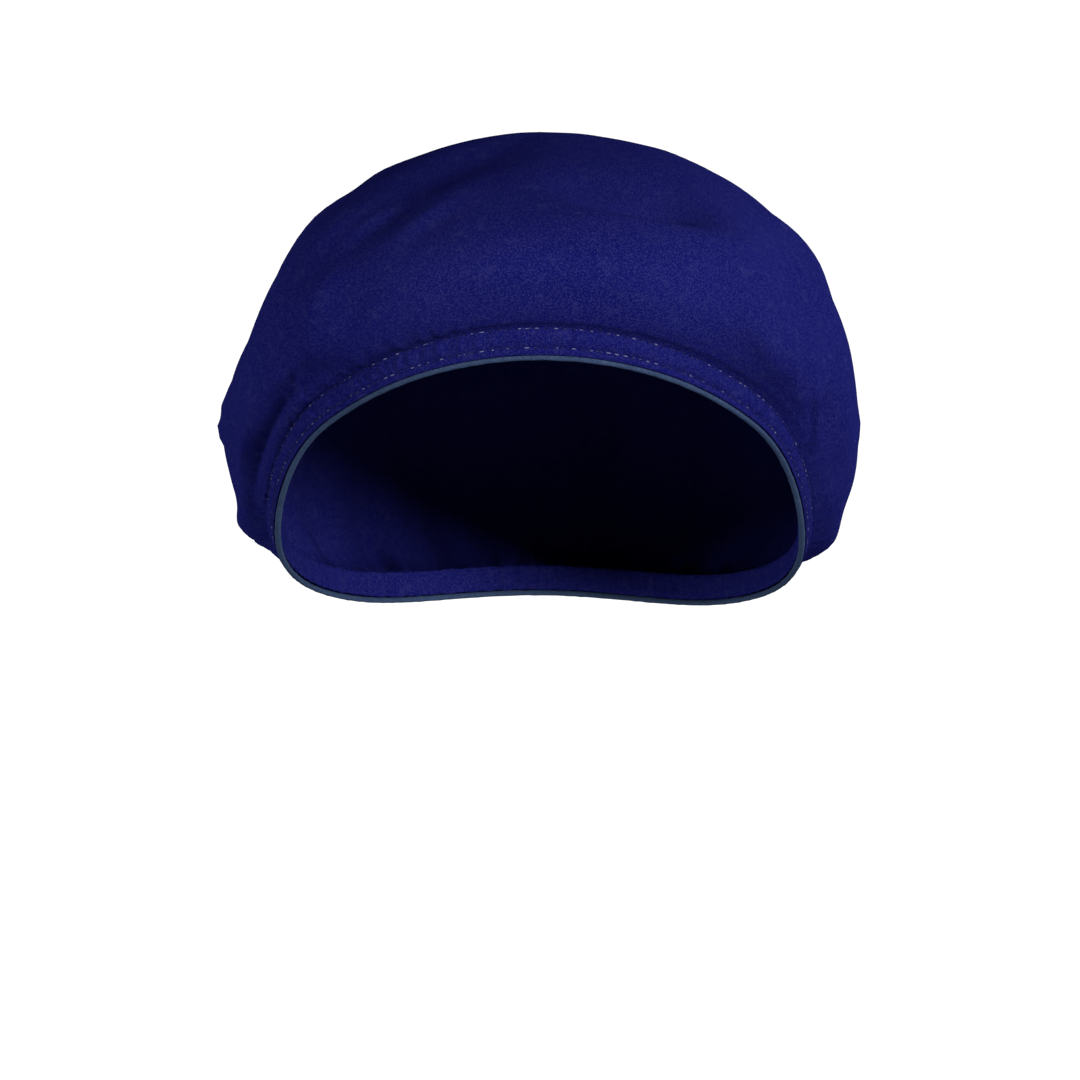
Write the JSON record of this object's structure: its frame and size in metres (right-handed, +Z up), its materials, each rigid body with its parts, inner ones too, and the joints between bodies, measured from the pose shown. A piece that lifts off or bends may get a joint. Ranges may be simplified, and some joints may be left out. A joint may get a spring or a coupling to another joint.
{
  "type": "scrub cap",
  "caption": "Bouffant cloth scrub cap with a puffed crown, an elastic hem band and contrast piping round the head opening, shown in its worn shape.",
  "frame": {"origin": "centre of the head opening, level with the temples, on the head's middle plane", "axes": "-Y towards the forehead, +Y towards the nape, +Z up towards the crown of the head, +X to the right as seen from the front"},
  "size_m": [0.1957, 0.2398, 0.1625],
  "materials": {
    "navy_cloth": "matt plain-weave polycotton, dyed royal navy",
    "navy_facing": "matt plain-weave polycotton, gathered on elastic",
    "slate_piping": "matt bias-cut cotton piping, slate blue"
  },
  "bodies": {
    "root": {"crown": "navy_cloth", "hem_band": "navy_facing", "piping": "slate_piping"}
  },
  "joints": []
}
